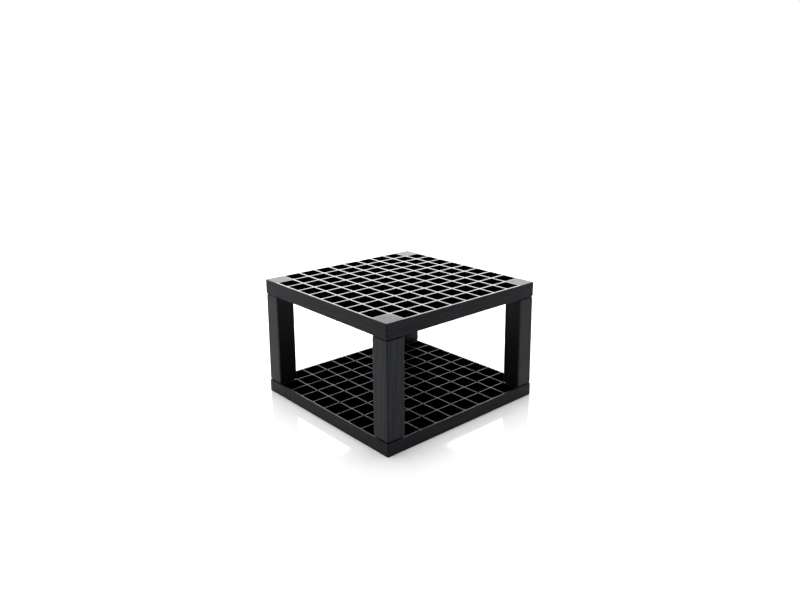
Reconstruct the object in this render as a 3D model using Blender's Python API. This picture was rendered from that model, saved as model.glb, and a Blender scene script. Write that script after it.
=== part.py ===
"""Brush and pencil rack: a square top tray of square holes, a base tray of matching pockets, and four
corner posts whose square tenons push into sockets in both trays. Metres, +Z up. The origin is the
centre of the underside.

Each tray is one moulding. It is drawn as separate solids a tenth of a millimetre apart, four quarters
of its grid and, in the base tray, the floor under them, so that a simulation keeps every cell open."""

import math

import bmesh
import bpy

# Whole rack
TRAY_SIDE = 0.1460  # both trays are this square
OVERALL_HEIGHT = 0.0914
QUARTER_CELLS = 5  # cells along each side of a quarter, so a tray has twice as many

# Trays
TOP_TRAY_HEIGHT = 0.0110
BASE_TRAY_HEIGHT = 0.0094
RIM_WIDTH = 0.00175  # outer wall of the top tray, at its upper face
RIB_WIDTH = 0.00172  # rib of the top tray, at its upper face
BASE_RIB_WIDTH = 0.00120  # rib of the base tray, at its upper face
POCKET_FLOOR = 0.0015  # plastic under each pocket of the base tray
DRAFT = math.radians(1.0)  # taper of every cell wall, so that the moulding leaves its tool
TRAY_CORNER_RADIUS = 0.0010  # upright outer corners
SEAM = 0.0001  # between the solids that one tray is drawn as

# Posts and their push fit
POST_SIDE = 0.0150
POST_CORNER_RADIUS = 0.0009
POST_INSET = 0.0003  # outer faces of a post lie this far inside the tray's
POST_BORE = 0.0080  # square hollow from end to end
SHOULDER_CHAMFER = 0.0005  # makes the groove where a post meets a tray
TENON_SIDE = 0.0114
TENON_RADIUS = 0.0008
TENON_LEAD = 0.0006  # chamfer on the tip of a tenon
SOCKET_WALL = 0.0014  # least plastic between a socket and the nearest cell
SOCKET_MOUTH = 0.0003  # chamfer round the mouth of a socket

# Clearances
SIDE_GAP = 0.0003  # tenon to socket wall, each side
SHOULDER_GAP = 0.0003  # post shoulder to tray
TIP_GAP = 0.0006  # tenon tip to the end of its socket, when SHOULDER_GAP is closed

CORNER_SEGMENTS = 3  # flats on each rounded upright corner
BLACK_PLASTIC = (0.022, 0.023, 0.026, 1.0)

# Sizes that follow from the ones above
PITCH = (TRAY_SIDE - 2 * RIM_WIDTH + RIB_WIDTH) / (2 * QUARTER_CELLS)
HOLE = PITCH - RIB_WIDTH
POST_CENTRE = TRAY_SIDE / 2 - POST_INSET - POST_SIDE / 2
SOCKET_SIDE = TENON_SIDE + 2 * SIDE_GAP
TENON_LENGTH = BASE_TRAY_HEIGHT - POCKET_FLOOR - TIP_GAP
SOCKET_DEPTH = TENON_LENGTH + TIP_GAP
TOP_TRAY_Z = OVERALL_HEIGHT - TOP_TRAY_HEIGHT
SHAFT_LENGTH = TOP_TRAY_Z - BASE_TRAY_HEIGHT - 2 * SHOULDER_GAP
CORNERS = ("right", "back", "left", "front")  # a quarter turn apart, from the corner at +X +Y
WIDENING, NARROWING = 1, -1  # what the cells of a grid do on the way down


def clear_scene():
    for old in list(bpy.data.objects):
        bpy.data.objects.remove(old, do_unlink=True)


def plastic(name, roughness):
    material = bpy.data.materials.new(name)
    material.use_nodes = True
    shader = material.node_tree.nodes["Principled BSDF"]
    shader.inputs["Base Color"].default_value = BLACK_PLASTIC
    shader.inputs["Roughness"].default_value = roughness
    shader.inputs["Metallic"].default_value = 0.0
    return material


def finished_mesh(name, bm, material=None):
    """Turn a bmesh into a mesh with every face pointing out."""
    bmesh.ops.recalc_face_normals(bm, faces=bm.faces)
    mesh = bpy.data.meshes.new(name)
    bm.to_mesh(mesh)
    bm.free()
    if material:
        mesh.materials.append(material)
    return mesh


def add_object(name, mesh, turn=0):
    """Add a mesh to the scene. A mesh made in the +X +Y quarter is turned round to its own corner."""
    added = bpy.data.objects.new(name, mesh)
    added.rotation_euler.z = turn * math.pi / 2
    bpy.context.scene.collection.objects.link(added)
    return added


def rounded_square(bm, side, radius, z, centre):
    """A ring of vertices round a square with rounded corners. Its centre has the same x and y."""
    ring = []
    reach = side / 2 - radius
    for quarter in range(4):
        start = quarter * math.pi / 2
        arc_x = centre + reach * math.copysign(1, math.cos(start + math.pi / 4))
        arc_y = centre + reach * math.copysign(1, math.sin(start + math.pi / 4))
        for step in range(CORNER_SEGMENTS + 1):
            angle = start + step * math.pi / 2 / CORNER_SEGMENTS
            point = (arc_x + radius * math.cos(angle), arc_y + radius * math.sin(angle), z)
            ring.append(bm.verts.new(point))
    return ring


def skin_rings(bm, rings, closed=False):
    """Join each ring to the next with quads. A closed stack also joins the last to the first."""
    pairs = list(zip(rings, rings[1:]))
    if closed:
        pairs.append((rings[-1], rings[0]))
    for lower, upper in pairs:
        for here in range(len(lower)):
            after = (here + 1) % len(lower)
            bm.faces.new((lower[here], lower[after], upper[after], upper[here]))


def cell_centre(index):
    """How far a cell of a quarter lies from the middle of the tray, along one side."""
    return (index + 0.5) * PITCH


def in_corner(column, row):
    """Whether a cell would break into a corner socket. Such a cell stays solid."""
    socket_reach = POST_CENTRE - SOCKET_SIDE / 2 - SOCKET_WALL
    return cell_centre(min(column, row)) + HOLE / 2 > socket_reach


def grid_lines(opening):
    """Where the faces of the walls stand along one side of a quarter, for cells that are this wide."""
    lines = [SEAM / 2]
    for index in range(QUARTER_CELLS):
        lines.append(cell_centre(index) - opening / 2)
        lines.append(cell_centre(index) + opening / 2)
    return lines + [TRAY_SIDE / 2]


def grid_level(bm, opening, z):
    """A square net of vertices at one height, with a line at each face of each wall."""
    lines = grid_lines(opening)
    return [[bm.verts.new((x, y, z)) for y in lines] for x in lines]


def open_patch(column, row):
    """Whether a patch of the net is the mouth of a cell, and not a rib, the rim or a corner."""
    is_cell = column % 2 == 1 and row % 2 == 1
    return is_cell and not in_corner(column // 2, row // 2)


def patch(level, column, row):
    """The four vertices of one patch of a net, in order round it."""
    return (
        level[column][row],
        level[column + 1][row],
        level[column + 1][row + 1],
        level[column][row + 1],
    )


def fill_level(bm, level):
    """The solid part of a net, as faces."""
    for column in range(len(level) - 1):
        for row in range(len(level) - 1):
            if not open_patch(column, row):
                bm.faces.new(patch(level, column, row))


def cell_walls(bm, upper, lower):
    """The four sides of every open cell, between two nets."""
    for column in range(len(upper) - 1):
        for row in range(len(upper) - 1):
            if open_patch(column, row):
                skin_rings(bm, [patch(upper, column, row), patch(lower, column, row)])


def outline(level):
    """The outermost vertices of a net, in order."""
    last = len(level) - 1
    front = [level[step][0] for step in range(last)]
    right = [level[last][step] for step in range(last)]
    back = [level[last - step][last] for step in range(last)]
    left = [level[0][last - step] for step in range(last)]
    return front + right + back + left


def round_outer_corner(bm):
    corner = [
        edge
        for edge in bm.edges
        if all(min(v.co.x, v.co.y) > TRAY_SIDE / 2 - 1e-6 for v in edge.verts)
    ]
    bmesh.ops.bevel(
        bm,
        geom=corner,
        offset=TRAY_CORNER_RADIUS,
        offset_type="OFFSET",
        segments=CORNER_SEGMENTS,
        profile=0.5,
        affect="EDGES",
    )


def quarter_grid(bottom_z, top_z, opening, taper):
    """A quarter of a plate of square holes, this wide at the upper face, that taper by the draft."""
    bm = bmesh.new()
    change = 2 * (top_z - bottom_z) * math.tan(DRAFT)
    upper = grid_level(bm, opening, top_z)
    lower = grid_level(bm, opening + taper * change, bottom_z)
    fill_level(bm, upper)
    fill_level(bm, lower)
    cell_walls(bm, upper, lower)
    skin_rings(bm, [outline(upper), outline(lower)])
    round_outer_corner(bm)
    return bm


def socket_cutter(name, mouth_z, inwards, turn):
    """A square plug, chamfered at the mouth, that cuts a socket into a tray's face at mouth_z."""
    bm = bmesh.new()
    past = 2 * SOCKET_MOUTH
    profile = (
        (SOCKET_SIDE + 2 * (SOCKET_MOUTH + past), -past),
        (SOCKET_SIDE, SOCKET_MOUTH),
        (SOCKET_SIDE, SOCKET_DEPTH),
    )
    rings = [
        rounded_square(bm, side, TENON_RADIUS, mouth_z + inwards * depth, POST_CENTRE)
        for side, depth in profile
    ]
    skin_rings(bm, rings)
    bm.faces.new(rings[0])
    bm.faces.new(rings[-1])
    cutter = add_object(name + "_socket", finished_mesh(name + "_socket", bm), turn)
    cutter.hide_render = True
    cutter.display_type = "WIRE"
    return cutter


def add_quarters(tray, mesh, mouth_z, inwards):
    """Four copies of a quarter, turned round to the corners, each with its socket cut."""
    for turn, corner in enumerate(CORNERS):
        name = f"{tray}_{corner}"
        quarter = add_object(name, mesh, turn)
        cut = quarter.modifiers.new("socket", "BOOLEAN")
        cut.operation = "DIFFERENCE"
        cut.solver = "EXACT"
        cut.object = socket_cutter(name, mouth_z, inwards, turn)


def make_top_tray():
    bm = quarter_grid(TOP_TRAY_Z, OVERALL_HEIGHT, HOLE, WIDENING)
    mesh = finished_mesh("top_tray_quarter", bm, plastic("top_tray_plastic", 0.28))
    add_quarters("top_tray", mesh, TOP_TRAY_Z, 1)


def make_base_tray():
    material = plastic("base_tray_plastic", 0.36)
    opening = PITCH - BASE_RIB_WIDTH
    bm = quarter_grid(POCKET_FLOOR + SEAM, BASE_TRAY_HEIGHT, opening, NARROWING)
    mesh = finished_mesh("base_tray_quarter", bm, material)
    add_quarters("base_tray", mesh, BASE_TRAY_HEIGHT, -1)
    bm = bmesh.new()
    rings = [rounded_square(bm, TRAY_SIDE, TRAY_CORNER_RADIUS, z, 0.0) for z in (0.0, POCKET_FLOOR)]
    skin_rings(bm, rings)
    bm.faces.new(rings[0])
    bm.faces.new(rings[1])
    add_object("base_tray_floor", finished_mesh("base_tray_floor", bm, material))


def post_profile():
    """Side, corner radius and height of each ring up the outside, from the lower tip to the upper."""
    tip = TENON_SIDE - 2 * TENON_LEAD
    edge = POST_SIDE - 2 * SHOULDER_CHAMFER
    lower_half = (
        (tip, TENON_RADIUS, -TENON_LENGTH),
        (TENON_SIDE, TENON_RADIUS, TENON_LEAD - TENON_LENGTH),
        (TENON_SIDE, TENON_RADIUS, 0.0),
        (edge, POST_CORNER_RADIUS, 0.0),
        (POST_SIDE, POST_CORNER_RADIUS, SHOULDER_CHAMFER),
    )
    upper_half = [(side, radius, SHAFT_LENGTH - z) for side, radius, z in reversed(lower_half)]
    return list(lower_half) + upper_half


def make_posts():
    """A hollow post with a tenon at each end. Both ends are the same."""
    bm = bmesh.new()
    shoulder_z = BASE_TRAY_HEIGHT + SHOULDER_GAP
    rings = [
        rounded_square(bm, side, radius, shoulder_z + z, POST_CENTRE)
        for side, radius, z in post_profile()
    ]
    for end_z in (SHAFT_LENGTH + TENON_LENGTH, -TENON_LENGTH):
        rings.append(rounded_square(bm, POST_BORE, TENON_RADIUS, shoulder_z + end_z, POST_CENTRE))
    skin_rings(bm, rings, closed=True)
    mesh = finished_mesh("post", bm, plastic("post_plastic", 0.42))
    for turn, corner in enumerate(CORNERS):
        add_object("post_" + corner, mesh, turn)


clear_scene()
make_top_tray()
make_base_tray()
make_posts()
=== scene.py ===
# %% [markdown]
# # A rack for brushes and pencils
#
# The real rack is six pieces of black moulded polystyrene: a top tray with 96 square holes, a base tray
# with 96 pockets below them, and four corner posts that push into both trays. It is sold flat and put
# together by hand.
#
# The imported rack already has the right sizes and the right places. This lesson makes the surfaces: the
# small roundings that catch the light, the pin marks that the tool leaves, and the plastic itself.

import math

import bmesh
import bpy
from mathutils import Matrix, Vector


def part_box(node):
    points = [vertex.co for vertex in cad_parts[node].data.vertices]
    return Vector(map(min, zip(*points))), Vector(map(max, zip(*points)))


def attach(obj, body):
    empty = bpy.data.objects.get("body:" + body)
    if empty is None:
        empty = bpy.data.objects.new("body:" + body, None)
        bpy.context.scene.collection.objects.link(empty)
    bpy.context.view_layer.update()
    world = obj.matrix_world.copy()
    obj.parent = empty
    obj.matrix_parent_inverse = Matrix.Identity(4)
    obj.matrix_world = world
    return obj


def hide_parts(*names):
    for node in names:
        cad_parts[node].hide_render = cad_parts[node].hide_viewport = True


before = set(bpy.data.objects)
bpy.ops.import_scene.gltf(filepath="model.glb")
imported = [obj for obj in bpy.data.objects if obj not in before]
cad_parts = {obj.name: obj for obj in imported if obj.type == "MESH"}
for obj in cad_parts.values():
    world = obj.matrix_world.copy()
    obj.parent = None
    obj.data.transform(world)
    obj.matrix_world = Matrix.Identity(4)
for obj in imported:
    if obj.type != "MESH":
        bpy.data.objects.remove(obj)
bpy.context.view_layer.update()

# %% [markdown]
# ## Sizes
#
# Every overall size is read from the frame, so nothing has to be fitted afterwards. Only the sizes that
# a mould maker adds by hand, such as roundings and draft, are chosen here. All of them are in metres.

# %% Read the sizes
top_low, top_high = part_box("top_tray_right")
base_low, base_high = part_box("base_tray_right")
floor_low, floor_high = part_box("base_tray_floor")
post_low, post_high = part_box("post_right")

CELLS = 10
TRAY_HALF = top_high[0]
RIM_WIDTH = 0.00175
RIB_WIDTH = 0.00172
BASE_RIB_WIDTH = 0.00120
PITCH = (2 * (TRAY_HALF - RIM_WIDTH) + RIB_WIDTH) / CELLS
POST_HALF = (post_high[0] - post_low[0]) / 2
POST_CENTRE = (post_high[0] + post_low[0]) / 2
print("cell pitch %.2f mm, post %.1f mm square" % (1000 * PITCH, 2000 * POST_HALF))

# %% [markdown]
# ## Rings of points
#
# Every outline on this rack is a square whose corners are small arcs: a hole, a socket, a post. They
# could be cut from a slab with Boolean modifiers, but a Boolean leaves ragged faces that shade badly.
# Rings that all have the same number of points can be joined with plain quads instead, so each surface
# here is a stack of rings.

# %% Rings and skins
CORNER_STEPS = 6
QUARTERS = ((1, 1), (-1, 1), (-1, -1), (1, -1))
DIRECTIONS = ((1, 0), (0, 1), (-1, 0), (0, -1))


def square_ring(bm, half, radius, z, centre=(0.0, 0.0)):
    """A ring of vertices round a square with an arc at each corner."""
    ring = []
    for quarter, (side_x, side_y) in enumerate(QUARTERS):
        for step in range(CORNER_STEPS + 1):
            turn = (quarter + step / CORNER_STEPS) * math.pi / 2
            x = centre[0] + side_x * (half - radius) + radius * math.cos(turn)
            y = centre[1] + side_y * (half - radius) + radius * math.sin(turn)
            ring.append(bm.verts.new((x, y, z)))
    return ring


def skin(bm, rings, closed=False):
    """Join each ring to the next with quads."""
    pairs = list(zip(rings, rings[1:]))
    if closed:
        pairs.append((rings[-1], rings[0]))
    for lower, upper in pairs:
        for here in range(len(lower)):
            after = (here + 1) % len(lower)
            bm.faces.new((lower[here], lower[after], upper[after], upper[here]))


def rounding(radius, steps=3):
    """(outwards, downwards) for each point of a quarter round, from the flat face to the wall."""
    turns = [step / steps * math.pi / 2 for step in range(steps + 1)]
    return [(radius * (1 - math.sin(t)), radius * (1 - math.cos(t))) for t in turns]


print("a quarter round of 1 mm:", [(round(a, 2), round(b, 2)) for a, b in rounding(1.0)])

# %% [markdown]
# ## One tile of the grid
#
# A tray is ten by ten tiles. A tile runs from the middle of one rib to the middle of the next, with its
# hole in the centre. Neighbours share the same edge points, so welding the tiles makes one sheet.
#
# Where four tiles meet, each leaves out a quarter of a small disc. The disc is filled in afterwards:
# flat, or with the round mark of the ejector pin that pushed the warm tray out of its tool there.

# %% Tile outlines
TRAY_CORNER = 0.0011
TRAY_EDGE = 0.00035
CROSSING_RADIUS = 0.00085
CELL_FILLET = 0.0009
RIM_LEAD = RIM_WIDTH + CELL_FILLET - TRAY_EDGE
RIM_FLAT = TRAY_HALF - TRAY_EDGE


def cell_centre(index):
    return (index - (CELLS - 1) / 2) * PITCH


def tile_span(index):
    """Where a tile begins and ends along one side of the tray."""
    low = -RIM_FLAT if index == 0 else cell_centre(index) - PITCH / 2
    high = RIM_FLAT if index == CELLS - 1 else cell_centre(index) + PITCH / 2
    return low, high


def tile_corner(x, y, quarter):
    """The points with which a tile turns its corner at (x, y)."""
    at_rim = [abs(value) > RIM_FLAT - 1e-6 for value in (x, y)]
    along, across = DIRECTIONS[quarter], DIRECTIONS[(quarter + 1) % 4]
    points = []
    for step in range(CORNER_STEPS + 1):
        share = step / CORNER_STEPS
        sine, cosine = math.sin(share * math.pi / 2), math.cos(share * math.pi / 2)
        if all(at_rim):  # the corner of the tray, an arc
            radius = TRAY_CORNER - TRAY_EDGE
            back, aside = radius * (1 - cosine), radius * (1 - sine)
        elif any(at_rim):  # a rib meeting the rim, two straight runs
            back, aside = RIM_LEAD * max(0, 2 * share - 1), RIM_LEAD * max(0, 1 - 2 * share)
        else:  # a crossing of two ribs, a quarter of its disc
            back, aside = CROSSING_RADIUS * sine, CROSSING_RADIUS * cosine
        points.append((x - along[0] * back - across[0] * aside, y - along[1] * back - across[1] * aside))
    return points


def tile_ring(bm, column, row, z):
    """The outline of one tile."""
    spans = tile_span(column), tile_span(row)
    ring = []
    for quarter, (side_x, side_y) in enumerate(QUARTERS):
        corner = spans[0][side_x > 0], spans[1][side_y > 0]
        ring += [bm.verts.new((x, y, z)) for x, y in tile_corner(*corner, quarter)]
    return ring


def is_corner_tile(column, row):
    return column in (0, CELLS - 1) and row in (0, CELLS - 1)


def tiles():
    return [(column, row) for column in range(CELLS) for row in range(CELLS)]


print("tiles with a cell:", sum(not is_corner_tile(*tile) for tile in tiles()))

# %% [markdown]
# ## Crossings, rims and finishing
#
# The rest of a tray is shared work: fill the discs at the crossings, draw the outer wall down from the
# rim, weld everything, and turn the faces outwards. The wall is extruded ring by ring from the open edge
# of the sheet, and each point moves straight away from the tray's core, so the upright corners stay
# true arcs.

# %% Crossings and outer wall
PIN_DEPTH = 0.00080
PIN_LIP = 0.00010


def fill_crossings(bm, z, inwards, marked):
    """Close the disc at each crossing. Every other one gets a pin mark where marked is true."""
    for column in range(CELLS - 1):
        for row in range(CELLS - 1):
            centre = tile_span(column)[1], tile_span(row)[1]
            ring = disc_ring(bm, centre, CROSSING_RADIUS, z)
            if marked and (column + row) % 2 == 0:
                lip = disc_ring(bm, centre, CROSSING_RADIUS - PIN_LIP, z + inwards * PIN_LIP)
                foot = disc_ring(bm, centre, CROSSING_RADIUS - PIN_LIP, z + inwards * PIN_DEPTH)
                skin(bm, [ring, lip, foot])
                ring = foot
            bm.faces.new(ring)


def disc_ring(bm, centre, radius, z):
    count = 4 * CORNER_STEPS
    turns = [step / count * 2 * math.pi for step in range(count)]
    return [
        bm.verts.new((centre[0] + radius * math.cos(t), centre[1] + radius * math.sin(t), z))
        for t in turns
    ]


def outline_point(point, radius, z):
    """The same point of the outline, at this distance from the tray's core."""
    core = TRAY_HALF - TRAY_CORNER
    near = Vector((max(-core, min(core, point.x)), max(-core, min(core, point.y))))
    away = (point.xy - near).normalized()
    return (near.x + away.x * radius, near.y + away.y * radius, z)


def weld(bm):
    bmesh.ops.remove_doubles(bm, verts=bm.verts, dist=2e-6)


def draw_wall(bm, start_z, profile):
    """Extrude the open edge at start_z through (radius, z) steps. It returns the last edge."""
    edge = [e for e in bm.edges if e.is_boundary and abs(e.verts[0].co.z - start_z) < 1e-6]
    for radius, z in profile:
        made = bmesh.ops.extrude_edge_only(bm, edges=edge)["geom"]
        edge = [item for item in made if isinstance(item, bmesh.types.BMEdge) and item.is_boundary]
        for vertex in {vertex for item in edge for vertex in item.verts}:
            vertex.co = outline_point(vertex.co, radius, z)
    return edge


def outer_profile(high, low, low_edge):
    """(radius, z) down the outer wall, rounded at the top and at the bottom."""
    upper = [(TRAY_CORNER - out, high - down) for out, down in rounding(TRAY_EDGE)]
    lower = [(TRAY_CORNER - out, low + down) for out, down in rounding(low_edge)]
    return upper[1:] + lower[::-1]


def finish_piece(name, bm):
    """Weld the sheet, turn its faces out, and make it an object with soft edges and flat faces."""
    weld(bm)
    bmesh.ops.recalc_face_normals(bm, faces=bm.faces)
    open_edges = sum(not e.is_manifold for e in bm.edges)
    mesh = bpy.data.meshes.new(name)
    bm.to_mesh(mesh)
    bm.free()
    piece = bpy.data.objects.new(name, mesh)
    bpy.context.scene.collection.objects.link(piece)
    mesh.shade_smooth()
    normals = piece.modifiers.new("flat_faces_stay_flat", "WEIGHTED_NORMAL")
    normals.keep_sharp = True
    print("%s: %d faces, %d open edges" % (name, len(mesh.polygons), open_edges))
    return piece


# %% [markdown]
# ## The top tray
#
# Seen from above this is the cavity side of the tool, so its ribs are wide and its edges are full. The
# holes widen downwards by one degree so that the tray slides off its cores. The four corner squares are
# closed: below each one is the socket that takes a post.

# %% Make the top tray
DRAFT = math.tan(math.radians(1.0))
HOLE_LIP = 0.00020
SOCKET_HALF = 0.0060
SOCKET_RADIUS = 0.0008
SOCKET_LIP = 0.0003
SOCKET_DEPTH = base_high[2] - floor_high[2]


def hole_profile(high, low, half):
    """(half width, fillet, z) down a hole that widens by the draft."""
    wide = half + (high - low) * DRAFT
    upper = [(half + out, CELL_FILLET + out, high - down) for out, down in rounding(HOLE_LIP)]
    lower = [(wide + out, CELL_FILLET + out, low + down) for out, down in rounding(HOLE_LIP)]
    return upper + lower[::-1]


def post_spot(column, row):
    """The axis of the post at a corner tile."""
    return math.copysign(POST_CENTRE, column - 1), math.copysign(POST_CENTRE, row - 1)


def socket(bm, tile, mouth_z, inwards):
    """A corner tile with its socket, which opens at mouth_z."""
    centre = post_spot(*tile)
    rings = [tile_ring(bm, *tile, mouth_z)]
    for out, down in rounding(SOCKET_LIP):
        size = SOCKET_HALF + out, SOCKET_RADIUS + out
        rings.append(square_ring(bm, *size, mouth_z + inwards * down, centre))
    rings.append(square_ring(bm, SOCKET_HALF, SOCKET_RADIUS, mouth_z + inwards * SOCKET_DEPTH, centre))
    skin(bm, rings)
    bm.faces.new(rings[-1])


def make_top_tray():
    bm = bmesh.new()
    high, low = top_high[2], top_low[2]
    for tile in tiles():
        upper = tile_ring(bm, *tile, high)
        if is_corner_tile(*tile):
            bm.faces.new(upper)
            socket(bm, tile, low, 1)
            continue
        centre = cell_centre(tile[0]), cell_centre(tile[1])
        hole = hole_profile(high, low, (PITCH - RIB_WIDTH) / 2)
        rings = [square_ring(bm, *size, centre) for size in hole]
        skin(bm, [upper, *rings, tile_ring(bm, *tile, low)])
    fill_crossings(bm, high, -1, marked=False)
    fill_crossings(bm, low, 1, marked=True)
    weld(bm)
    draw_wall(bm, high, outer_profile(high, low, TRAY_EDGE))
    return finish_piece("top_tray_moulding", bm)


top_tray = make_top_tray()

# %% [markdown]
# ## The base tray
#
# The base is the same grid seen from its other side. Its ribs taper upwards, so they look thinner than
# the ribs of the top tray, and at every second crossing an ejector pin has left a small round dent. Each
# pocket has a floor, with a soft fillet where the walls meet it.

# %% Make the base tray
POCKET_LIP = 0.00040
POCKET_FILLET = 0.0004
BASE_EDGE = 0.0005


def pocket_profile(high, floor, half):
    """(half width, fillet, z) down a pocket that narrows by the draft, and round its floor."""
    narrow = half - (high - floor) * DRAFT
    upper = [(half + out, CELL_FILLET + out, high - down) for out, down in rounding(POCKET_LIP)]
    lower = [
        (narrow - down, CELL_FILLET - down, floor + out) for out, down in rounding(POCKET_FILLET)
    ]
    return upper + lower


def make_base_tray():
    bm = bmesh.new()
    high, low = base_high[2], floor_low[2]
    for tile in tiles():
        if is_corner_tile(*tile):
            socket(bm, tile, high, -1)
            continue
        centre = cell_centre(tile[0]), cell_centre(tile[1])
        pocket = pocket_profile(high, floor_high[2], (PITCH - BASE_RIB_WIDTH) / 2)
        rings = [square_ring(bm, *size, centre) for size in pocket]
        skin(bm, [tile_ring(bm, *tile, high), *rings])
        bm.faces.new(rings[-1])
    fill_crossings(bm, high, -1, marked=True)
    weld(bm)
    last_edge = draw_wall(bm, high, outer_profile(high, low, BASE_EDGE))
    bmesh.ops.holes_fill(bm, edges=last_edge, sides=0)
    return finish_piece("base_tray_moulding", bm)


base_tray = make_base_tray()

# %% [markdown]
# ## The posts
#
# One moulding is used four times, and both ends are the same, so it can't be put in the wrong way up. A
# square tenon at each end goes into a socket. The shoulder above it is set back a little before the post
# takes its full width. A set-back like this hides a joint that isn't quite closed, and it draws a thin
# dark line at both ends of every post.

# %% Make the posts
POST_RADIUS = 0.0010
SHOULDER_EDGE = 0.0003
NECK_SETBACK = 0.0005
NECK_HEIGHT = 0.0006
TENON_HALF = 0.0057
TENON_RADIUS = 0.0008
TENON_LEAD = 0.0006
SHOULDER_GAP = 0.0003
BORE_HALF = 0.0040


def post_rings():
    """(half width, radius, height over the shoulder) for the lower end, from the tip up."""
    tip = base_high[2] + SHOULDER_GAP - post_low[2]
    rings = [
        (TENON_HALF - TENON_LEAD, TENON_RADIUS, -tip),
        (TENON_HALF, TENON_RADIUS, TENON_LEAD - tip),
        (TENON_HALF, TENON_RADIUS, 0.0),
    ]
    neck = POST_HALF - NECK_SETBACK, POST_RADIUS - NECK_SETBACK
    rings += [(*neck, 0.0), (*neck, NECK_HEIGHT)]
    rings += [
        (POST_HALF - out, POST_RADIUS - out, NECK_HEIGHT + down)
        for out, down in rounding(SHOULDER_EDGE)
    ]
    return rings


def make_post(name, corner):
    bm = bmesh.new()
    low = base_high[2] + SHOULDER_GAP
    high = top_low[2] - SHOULDER_GAP
    lower = [(half, radius, low + rise) for half, radius, rise in post_rings()]
    upper = [(half, radius, high - rise) for half, radius, rise in reversed(post_rings())]
    bore = [(BORE_HALF, TENON_RADIUS, z) for z in (upper[-1][2], lower[0][2])]
    centre = corner[0] * POST_CENTRE, corner[1] * POST_CENTRE
    rings = [square_ring(bm, *size, centre) for size in lower + upper + bore]
    skin(bm, rings, closed=True)
    return finish_piece(name, bm)


POST_CORNERS = {"front": (1, -1), "right": (1, 1), "back": (-1, 1), "left": (-1, -1)}
posts = {side: make_post("post_moulding_" + side, at) for side, at in POST_CORNERS.items()}

# %% [markdown]
# ## What the pieces stand for
#
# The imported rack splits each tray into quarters, because that keeps every cell open in a simulation. A
# real tray is one moulding, so one piece here stands for all the solids of its tray and moves with them.

# %% Put each piece on its body
CORNERS = ("right", "back", "left", "front")

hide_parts(*["top_tray_" + corner for corner in CORNERS])
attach(top_tray, "top")

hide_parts("base_tray_floor", *["base_tray_" + corner for corner in CORNERS])
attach(base_tray, "base")

for side, post in posts.items():
    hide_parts("post_" + side)
    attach(post, side + "_post")
print("pieces:", [piece.name for piece in (top_tray, base_tray, *posts.values())])

# %% [markdown]
# ## Helpers for materials
#
# A shader tree is easier to read when one line makes a node and joins it. These helpers do that, and
# they work the same way inside a material and inside a node group.

# %% Node helpers
def add_node(tree, kind, inputs=(), **settings):
    """A node with its settings made. Each input takes a number, a colour or another node's output."""
    node = tree.nodes.new(kind)
    for key, value in settings.items():
        setattr(node, key, value)
    for key, value in dict(inputs).items():
        if isinstance(value, bpy.types.NodeSocket):
            tree.links.new(value, node.inputs[key])
        else:
            node.inputs[key].default_value = value
    return node


def noise(tree, place, scale, detail=2.0, roughness=0.5):
    settings = {"Vector": place, "Scale": scale, "Detail": detail, "Roughness": roughness}
    return add_node(tree, "ShaderNodeTexNoise", settings).outputs["Fac"]


def remap(tree, value, start, end, low=0.0, high=1.0):
    """Take the range from start to end to the range from low to high, and hold it there."""
    inputs = {"Value": value, "From Min": start, "From Max": end, "To Min": low, "To Max": high}
    return add_node(tree, "ShaderNodeMapRange", inputs).outputs["Result"]


def maths(tree, operation, first, second=0.0):
    return add_node(tree, "ShaderNodeMath", {0: first, 1: second}, operation=operation).outputs[0]


def new_group(name, inputs, outputs):
    """An empty node group. Its inputs are numbers with these values, and its outputs are numbers too."""
    group = bpy.data.node_groups.new(name, "ShaderNodeTree")
    sockets = group.interface
    for label, value in inputs.items():
        made = sockets.new_socket(label, in_out="INPUT", socket_type="NodeSocketFloat")
        made.default_value = value
    for label in outputs:
        sockets.new_socket(label, in_out="OUTPUT", socket_type="NodeSocketFloat")
    given, out = group.nodes.new("NodeGroupInput"), group.nodes.new("NodeGroupOutput")
    return group, given.outputs, out.inputs


def place_group(tree, group, values):
    """Put a group into a material with its own values, and give its outputs."""
    node = tree.nodes.new("ShaderNodeGroup")
    node.node_tree = group
    for label, value in values.items():
        node.inputs[label].default_value = value
    return node.outputs


# %% [markdown]
# ## The moulded texture
#
# The steel of the tool is rough, and the plastic copies it. That is why the sides look brushed
# and not like glass. An image could give this, but noise in the object's own coordinates has no seams
# and stays the same size on every piece. The polished steel of the upper faces leaves only fine pits.
# The steel of the sides was rubbed along its length before it was eroded, so its marks are drawn out
# into streaks: upright on a post, and along the tray on a tray.

# %% Fine pits
def object_place(tree):
    return add_node(tree, "ShaderNodeTexCoord").outputs["Object"]


def make_pits():
    group, given, out = new_group("fine_pits", {"Pits per metre": 1000.0}, ["Height", "Mottle"])
    pits = noise(group, object_place(group), given["Pits per metre"], 3.0, 0.6)
    group.links.new(pits, out["Height"])
    group.links.new(remap(group, pits, 0.35, 0.65), out["Mottle"])
    return group


fine_pits = make_pits()

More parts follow.
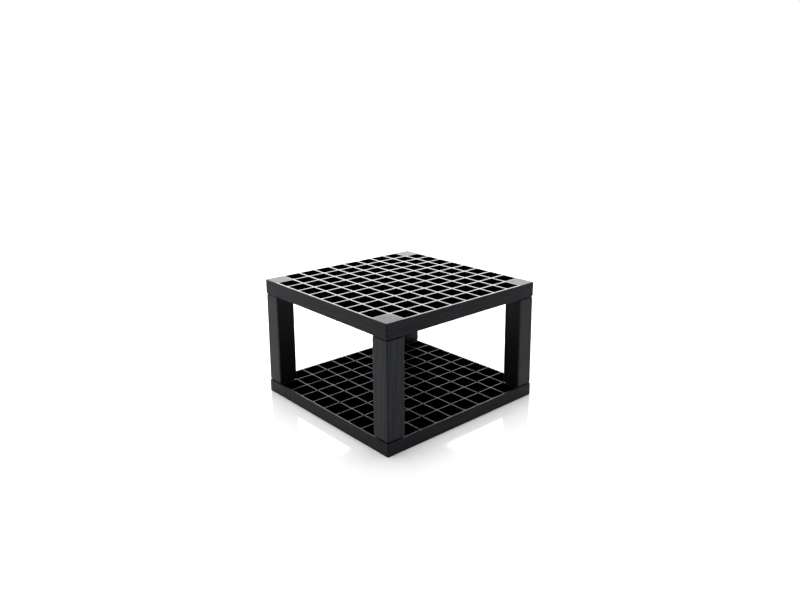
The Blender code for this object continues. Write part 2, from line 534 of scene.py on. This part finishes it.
# %% Streaks of the rubbed steel
def make_streaks():
    """Noise drawn out along z where Upright is 1, and along the tray's side where it is 0."""
    given_values = {"Streaks per metre": 750.0, "Length": 30.0, "Upright": 0.0}
    group, given, out = new_group("rubbed_streaks", given_values, ["Height", "Streak"])
    x, y, z = add_node(group, "ShaderNodeSeparateXYZ", {"Vector": object_place(group)}).outputs
    shrunk_z = maths(group, "DIVIDE", z, given["Length"])
    shrunk_side = maths(group, "DIVIDE", maths(group, "ADD", x, y), given["Length"])
    upright = add_node(group, "ShaderNodeCombineXYZ", {"X": x, "Y": y, "Z": shrunk_z})
    level = add_node(group, "ShaderNodeCombineXYZ", {"X": shrunk_side, "Y": z})
    ends = {0: given["Upright"], 4: level.outputs[0], 5: upright.outputs[0]}
    place = add_node(group, "ShaderNodeMix", ends, data_type="VECTOR").outputs[1]
    streaks = noise(group, place, given["Streaks per metre"], 3.0, 0.65)
    group.links.new(streaks, out["Height"])
    group.links.new(remap(group, streaks, 0.40, 0.62), out["Streak"])
    return group


rubbed_streaks = make_streaks()
print("groups:", fine_pits.name, "and", rubbed_streaks.name)

# %% [markdown]
# ## Waves from cooling
#
# Thick places shrink more as the plastic cools, so a rib's top is never quite flat. A straight reflection
# wanders a little along it. Slow noise as a height is enough, because it only has to tilt the surface by
# a fraction of a degree.

# %% Sink waves
RIPPLE_SHARE = 0.18


def make_waves():
    given_values = {"Waves per metre": 90.0, "Ripples per metre": 420.0}
    group, given, out = new_group("sink_waves", given_values, ["Height"])
    place = object_place(group)
    slow = noise(group, place, given["Waves per metre"], 1.0)
    quick = noise(group, place, given["Ripples per metre"], 1.0)
    height = maths(group, "ADD", slow, maths(group, "MULTIPLY", quick, RIPPLE_SHARE))
    group.links.new(height, out["Height"])
    return group


sink_waves = make_waves()
print(sink_waves.name, "made")

# %% [markdown]
# ## Dust and handling
#
# Black plastic shows every speck. Dust settles on faces that look up and almost never on the sides. The
# mask multiplies sparse specks and a thin uneven film by how far a face looks up. Fingers leave wide
# soft smears that only change the gloss, so they are a second output.

# %% Settled dust
LEANING, LEVEL = 0.45, 0.92  # the upward part of a normal, where dust starts to hold and where it all holds


def make_dust():
    given_values = {"Film": 0.25, "Specks": 0.5, "Specks per metre": 2600.0}
    group, given, out = new_group("settled_dust", given_values, ["Dust", "Smears", "Level"])
    place = object_place(group)
    normal = add_node(group, "ShaderNodeTexCoord").outputs["Normal"]
    upwards = add_node(group, "ShaderNodeSeparateXYZ", {"Vector": normal}).outputs["Z"]
    up = remap(group, upwards, LEANING, LEVEL)
    level = remap(group, maths(group, "ABSOLUTE", upwards), LEANING, LEVEL)
    cloud = remap(group, noise(group, place, 160.0, 4.0, 0.6), 0.35, 0.75)
    film = maths(group, "MULTIPLY", cloud, given["Film"])
    specks = remap(group, noise(group, place, given["Specks per metre"], 1.0), 0.70, 0.78)
    specks = maths(group, "MULTIPLY", specks, given["Specks"])
    dust = maths(group, "MULTIPLY", maths(group, "MAXIMUM", film, specks), up)
    smears = remap(group, noise(group, place, 55.0, 3.0, 0.65), 0.42, 0.66)
    for label, value in (("Dust", dust), ("Smears", smears), ("Level", level)):
        group.links.new(value, out[label])
    return group


settled_dust = make_dust()
print(settled_dust.name, "made")

# %% [markdown]
# ## The plastic itself
#
# All three finishes are the same black polystyrene and differ in how smooth the steel was. The material
# starts from one colour, lets the groups vary it a little, and keeps the even values, such as the index
# of refraction, on the shader. A level face and a side met different parts of the tool, so a mask
# of how level the face is chooses between two roughness values.

# %% Build a plastic
BLACK = (0.0015, 0.0016, 0.0023, 1.0)
# The lighter black below is partly wear and partly painted light that brightens the outer sides.
BLACK_WORN_AND_LIT = (0.0165, 0.0180, 0.0236, 1.0)
DUST_COLOUR = (0.30, 0.29, 0.275, 1.0)
POLYSTYRENE_IOR = 1.55
SHEEN_TINT = (0.91, 0.95, 1.0, 1.0)
CELL_WALL_ROUGHNESS = 0.14
STREAK_DULLS = 0.12
MOTTLE_DULLS = 0.04
SMEAR_DULLS = 0.04
DUST_DULLS = 0.5
GRAIN_DEPTH = 0.00003
WAVE_DEPTH = 0.00006


def mix_colour(tree, share, first, second):
    mixer = add_node(tree, "ShaderNodeMix", data_type="RGBA")
    for index, value in ((0, share), (6, first), (7, second)):
        if isinstance(value, bpy.types.NodeSocket):
            tree.links.new(value, mixer.inputs[index])
        else:
            mixer.inputs[index].default_value = value
    return mixer.outputs[2]


def mix_value(tree, share, first, second):
    """First where share is 0, and second where it is 1."""
    return add_node(tree, "ShaderNodeMix", {0: share, 2: first, 3: second}).outputs[0]


def inner_mask(tree):
    """1 on every face behind the rack's outer sides, and 0 on the outer sides themselves."""
    x, y, _ = add_node(tree, "ShaderNodeSeparateXYZ", {"Vector": object_place(tree)}).outputs
    reach = maths(tree, "MAXIMUM", maths(tree, "ABSOLUTE", x), maths(tree, "ABSOLUTE", y))
    return maths(tree, "LESS_THAN", reach, TRAY_HALF - RIM_WIDTH / 2)


def corner_mask(tree):
    """1 on the closed corner squares of a tray."""
    x, y, _ = add_node(tree, "ShaderNodeSeparateXYZ", {"Vector": object_place(tree)}).outputs
    reach = maths(tree, "MINIMUM", maths(tree, "ABSOLUTE", x), maths(tree, "ABSOLUTE", y))
    return maths(tree, "GREATER_THAN", reach, TRAY_HALF - PITCH - RIB_WIDTH / 2)


def plastic(name, sides, tops, corners, film, upright, wear_and_light, shine):
    """A black plastic. sides, tops and corners are the roughness of each kind of face."""
    material = bpy.data.materials.new(name)
    material.use_nodes = True
    tree = material.node_tree
    shader = tree.nodes["Principled BSDF"]
    pits = place_group(tree, fine_pits, {})
    streaks = place_group(tree, rubbed_streaks, {"Upright": upright})
    waves = place_group(tree, sink_waves, {})
    dust = place_group(tree, settled_dust, {"Film": film})
    inner = inner_mask(tree)

    # The streaked worn black is partly wear and partly painted light: it lifts only the outer sides, and
    # the inner faces keep the plain black as painted shade.
    outer_side = maths(tree, "SUBTRACT", maths(tree, "SUBTRACT", 1.0, inner), dust["Level"])
    outer_side = maths(tree, "MAXIMUM", outer_side, 0.0)
    worn_and_lit = maths(tree, "MULTIPLY", maths(tree, "MULTIPLY", streaks["Streak"], wear_and_light), outer_side)
    black = mix_colour(tree, worn_and_lit, BLACK, BLACK_WORN_AND_LIT)
    tree.links.new(mix_colour(tree, dust["Dust"], black, DUST_COLOUR), shader.inputs["Base Color"])

    top = mix_value(tree, corner_mask(tree), tops, corners)
    side = maths(tree, "ADD", sides, maths(tree, "MULTIPLY", streaks["Streak"], STREAK_DULLS))
    if not upright:  # the walls of a cell slid along polished cores
        side = mix_value(tree, inner, side, CELL_WALL_ROUGHNESS)
    rough = mix_value(tree, dust["Level"], side, top)
    dulled_by = (
        (pits["Mottle"], MOTTLE_DULLS),
        (dust["Smears"], SMEAR_DULLS),
        (dust["Dust"], DUST_DULLS),
    )
    for mask, change in dulled_by:
        rough = maths(tree, "ADD", rough, maths(tree, "MULTIPLY", mask, change))
    tree.links.new(rough, shader.inputs["Roughness"])

    grain = mix_value(tree, dust["Level"], streaks["Height"], pits["Height"])
    grain_bump = {"Strength": 1.0, "Distance": GRAIN_DEPTH, "Height": grain}
    grained = add_node(tree, "ShaderNodeBump", grain_bump).outputs["Normal"]
    wave_bump = {"Strength": 1.0, "Distance": WAVE_DEPTH, "Height": waves["Height"], "Normal": grained}
    waved = add_node(tree, "ShaderNodeBump", wave_bump).outputs["Normal"]
    tree.links.new(waved, shader.inputs["Normal"])

    shader.inputs["IOR"].default_value = POLYSTYRENE_IOR
    shader.inputs["Specular IOR Level"].default_value = shine
    shader.inputs["Specular Tint"].default_value = SHEEN_TINT
    shader.inputs["Metallic"].default_value = 0.0
    return material


# %% [markdown]
# ## Three finishes
#
# Only the ribs of the top tray met polished steel, so they are the glossiest faces. The base tray is seen
# from the side of the ejector pins, and the tops of its ribs are dull. The posts are what a hand grips, so
# their outer sides are worn the most. The worn tone is partly wear and partly painted light: it lifts only
# the outer sides, and the inner faces get none of it and stay the deepest black as painted shade.

# %% Make the finishes
finishes = {
    "tray_gloss": plastic(
        "black_plastic_gloss_tray", sides=0.34, tops=0.13, corners=0.40,
        film=0.04, upright=0.0, wear_and_light=0.5, shine=0.10,
    ),
    "tray_satin": plastic(
        "black_plastic_satin_tray", sides=0.36, tops=0.42, corners=0.42,
        film=0.04, upright=0.0, wear_and_light=0.6, shine=0.10,
    ),
    "post_satin": plastic(
        "black_plastic_satin_post", sides=0.36, tops=0.36, corners=0.36,
        film=0.03, upright=1.0, wear_and_light=0.8, shine=0.16,
    ),
}
top_tray.data.materials.append(finishes["tray_gloss"])
base_tray.data.materials.append(finishes["tray_satin"])
for post in posts.values():
    post.data.materials.append(finishes["post_satin"])
print("materials:", sorted(finishes))

# %% [markdown]
# ## Floor and light
#
# The rack stands on a glossy white sheet in front of a bright backdrop. Black plastic has almost no
# colour of its own, so what it reflects is what is seen: the backdrop makes the tops of the ribs pale,
# and the softbox on the left makes one pair of sides lighter than the other. A real backdrop is a curved
# sheet whose light fades away to the sides and upwards, so it is a soft patch in the world's light here.
# A lamp with straight sides would leave its outline in every glossy face.

# %% Floor
FLOOR_RADIUS = 2.0
FLOOR_SIDES = 96
SHEET_WHITE = (0.86, 0.86, 0.86, 1.0)
SHEET_ROUGHNESS = 0.08
SHEET_IOR = 1.34


def make_floor():
    mesh = bpy.data.meshes.new("studio_floor")
    turns = [step / FLOOR_SIDES * 2 * math.pi for step in range(FLOOR_SIDES)]
    rim = [(FLOOR_RADIUS * math.cos(t), FLOOR_RADIUS * math.sin(t), 0.0) for t in turns]
    mesh.from_pydata(rim, [], [tuple(range(FLOOR_SIDES))])
    disc = bpy.data.objects.new("studio_floor", mesh)
    bpy.context.scene.collection.objects.link(disc)
    return disc


floor = make_floor()
floor_finish = bpy.data.materials.new("white_sheet")
floor_finish.use_nodes = True
sheet = floor_finish.node_tree.nodes["Principled BSDF"]
sheet.inputs["Base Color"].default_value = SHEET_WHITE
sheet.inputs["Roughness"].default_value = SHEET_ROUGHNESS
sheet.inputs["IOR"].default_value = SHEET_IOR
floor.data.materials.append(floor_finish)
print("floor at z =", floor.data.vertices[0].co.z)

# %% Light
ROOM_LIGHT = 0.08
WALL_LIGHT = 0.9
BACKDROP_LIGHT = 6.2
BACKDROP_AZIMUTH = math.radians(227)
WALLS_FADE = 0.30, 0.04  # height of the direction, where the walls end and where they are brightest
SIDEWAYS_FADE = 0.35, 0.80  # how nearly the direction meets the backdrop's middle
UPWARDS_FADE = 0.68, 0.42
CEILING_LIGHT = 2.8
CEILING_SPREAD = math.radians(50)


def fade(tree, value, start, end):
    inputs = {"Value": value, "From Min": start, "From Max": end}
    return add_node(tree, "ShaderNodeMapRange", inputs, interpolation_type="SMOOTHSTEP").outputs["Result"]


def studio_light(tree):
    """The light from each direction: pale walls low down, and the backdrop in front of them."""
    direction = add_node(tree, "ShaderNodeTexCoord").outputs["Generated"]
    middle = math.sin(BACKDROP_AZIMUTH), -math.cos(BACKDROP_AZIMUTH), 0.0
    dot = add_node(tree, "ShaderNodeVectorMath", {0: direction, 1: middle}, operation="DOT_PRODUCT")
    height = add_node(tree, "ShaderNodeSeparateXYZ", {"Vector": direction}).outputs["Z"]
    walls = mix_value(tree, fade(tree, height, *WALLS_FADE), ROOM_LIGHT, WALL_LIGHT)
    sideways = fade(tree, dot.outputs["Value"], *SIDEWAYS_FADE)
    upwards = fade(tree, height, *UPWARDS_FADE)
    return mix_value(tree, maths(tree, "MULTIPLY", sideways, upwards), walls, BACKDROP_LIGHT)


world = bpy.data.worlds.new("studio")
world.use_nodes = True
room = world.node_tree
background = room.nodes["Background"]
background.inputs["Color"].default_value = (1.0, 1.0, 1.0, 1.0)
seen = add_node(room, "ShaderNodeLightPath").outputs["Is Camera Ray"]
room.links.new(mix_value(room, seen, studio_light(room), 1.0), background.inputs["Strength"])
bpy.context.scene.world = world


def softbox(name, azimuth, elevation, distance, width, height, radiance):
    """An area light that faces the rack. Azimuth 0 is the side at -Y, and 90 is the side at +X."""
    lamp = bpy.data.lights.new(name, "AREA")
    lamp.shape = "RECTANGLE"
    lamp.size, lamp.size_y = width, height
    lamp.energy = radiance * math.pi * width * height
    box = bpy.data.objects.new(name, lamp)
    a, e = math.radians(azimuth), math.radians(elevation)
    away = Vector((math.sin(a) * math.cos(e), -math.cos(a) * math.cos(e), math.sin(e)))
    box.location = away * distance
    box.rotation_mode = "QUATERNION"
    box.rotation_quaternion = away.to_track_quat("Z", "Y")
    bpy.context.scene.collection.objects.link(box)
    return box


softbox("key_left", -35, 30, 1.6, 0.9, 0.8, 2.4)
ceiling = bpy.data.lights.new("ceiling", "SUN")
ceiling.energy = CEILING_LIGHT
ceiling.angle = CEILING_SPREAD
bpy.context.scene.collection.objects.link(bpy.data.objects.new("ceiling", ceiling))

# %% [markdown]
# ## Camera
#
# The camera stands about 20 degrees above the rack, in front of one corner. It is tilted down less than
# that and the lens is shifted a little, as a view camera would be, so the posts stay nearly upright.
# The distance is about three and a half times the tray's side, so the near corner is the larger one.

# %% Camera
CAMERA_AZIMUTH = math.radians(47.162)
CAMERA_ELEVATION = math.radians(12.002)
CAMERA_DISTANCE = 3.6523 * 2 * TRAY_HALF
AIM_ASIDE = 0.1383 * 2 * TRAY_HALF
AIM_HEIGHT = 0.8436 * 2 * TRAY_HALF
FOCAL_LENGTH = 31.683  # millimetres, on a frame 36 mm wide
SHIFT_ASIDE, SHIFT_UPWARDS = -0.03125, -0.075  # in frame widths

lens = bpy.data.cameras.new("camera")
lens.sensor_width = 36.0
lens.lens = FOCAL_LENGTH
lens.shift_x, lens.shift_y = SHIFT_ASIDE, SHIFT_UPWARDS
lens.clip_start = 0.01
camera = bpy.data.objects.new("camera", lens)
away = Vector((
    math.sin(CAMERA_AZIMUTH) * math.cos(CAMERA_ELEVATION),
    -math.cos(CAMERA_AZIMUTH) * math.cos(CAMERA_ELEVATION),
    math.sin(CAMERA_ELEVATION),
))
rightwards = (-away).cross(Vector((0, 0, 1))).normalized()
camera.location = rightwards * AIM_ASIDE + Vector((0, 0, AIM_HEIGHT)) + away * CAMERA_DISTANCE
camera.rotation_mode = "QUATERNION"
camera.rotation_quaternion = away.to_track_quat("Z", "Y")
bpy.context.scene.collection.objects.link(camera)
bpy.context.scene.camera = camera
bpy.context.scene.view_settings.view_transform = "Standard"
print("camera at", [round(value, 3) for value in camera.location])
